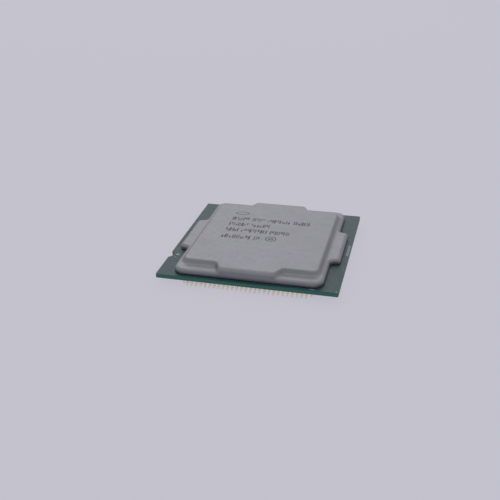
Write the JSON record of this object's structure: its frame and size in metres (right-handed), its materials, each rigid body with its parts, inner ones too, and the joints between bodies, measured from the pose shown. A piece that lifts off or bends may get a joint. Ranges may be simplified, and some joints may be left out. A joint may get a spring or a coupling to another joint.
{
  "type": "desktop processor package",
  "caption": "Square processor package with a stepped metal lid, a keyed green substrate and a grid of gold pins below.",
  "frame": {"origin": "centre of the plane of the pin tips, which the package stands on", "axes": "+Z out of the lid's top face; -X towards the substrate's edge with the key notch; +Y away from the front edge with the small rectangular test pad"},
  "size_m": [0.0376, 0.0376, 0.0045],
  "materials": {
    "solder_mask": "satin teal-green solder mask",
    "laminate": "cut edge of resin and glass cloth",
    "nickel": "satin nickel plate on copper",
    "gold": "gold plate, satin",
    "solder": "dull solder",
    "silicon": "polished back of the die",
    "underfill": "dark epoxy",
    "thermal_paste": "grey paste",
    "seal": "black adhesive bead",
    "capacitor": "fired tan ceramic"
  },
  "bodies": {
    "root": {"heat_spreader": "nickel", "lid_seal": "seal", "thermal_paste": "thermal_paste", "silicon_die": "silicon", "die_bumps": "solder", "die_underfill": "underfill", "upper_solder_mask": "solder_mask", "upper_build_up": "laminate", "substrate_core": "laminate", "lower_build_up": "laminate", "lower_solder_mask": "solder_mask", "pins_front": "gold", "pins_back": "gold", "pins_left": "gold", "pins_right": "gold", "notch_test_pad": "gold", "notch_small_pad": "gold", "corner_fiducial": "gold", "front_test_pad": "gold", "pin_one_mark": "gold", "lid_capacitor_1": "capacitor", "lid_capacitor_2": "capacitor", "lid_capacitor_3": "capacitor", "lid_capacitor_4": "capacitor", "lid_capacitor_5": "capacitor", "lid_capacitor_6": "capacitor", "lid_capacitor_7": "capacitor", "lid_capacitor_8": "capacitor", "land_capacitor_1": "capacitor", "land_capacitor_2": "capacitor", "land_capacitor_3": "capacitor", "land_capacitor_4": "capacitor", "land_capacitor_5": "capacitor", "land_capacitor_6": "capacitor", "land_capacitor_7": "capacitor", "land_capacitor_8": "capacitor", "land_capacitor_9": "capacitor", "land_capacitor_10": "capacitor", "land_capacitor_11": "capacitor", "land_capacitor_12": "capacitor", "land_capacitor_13": "capacitor", "land_capacitor_14": "capacitor", "land_capacitor_15": "capacitor", "land_capacitor_16": "capacitor", "land_capacitor_17": "capacitor", "land_capacitor_18": "capacitor", "land_capacitor_19": "capacitor", "land_capacitor_20": "capacitor", "land_capacitor_21": "capacitor", "land_capacitor_22": "capacitor", "land_capacitor_23": "capacitor", "land_capacitor_24": "capacitor"}
  },
  "joints": []
}
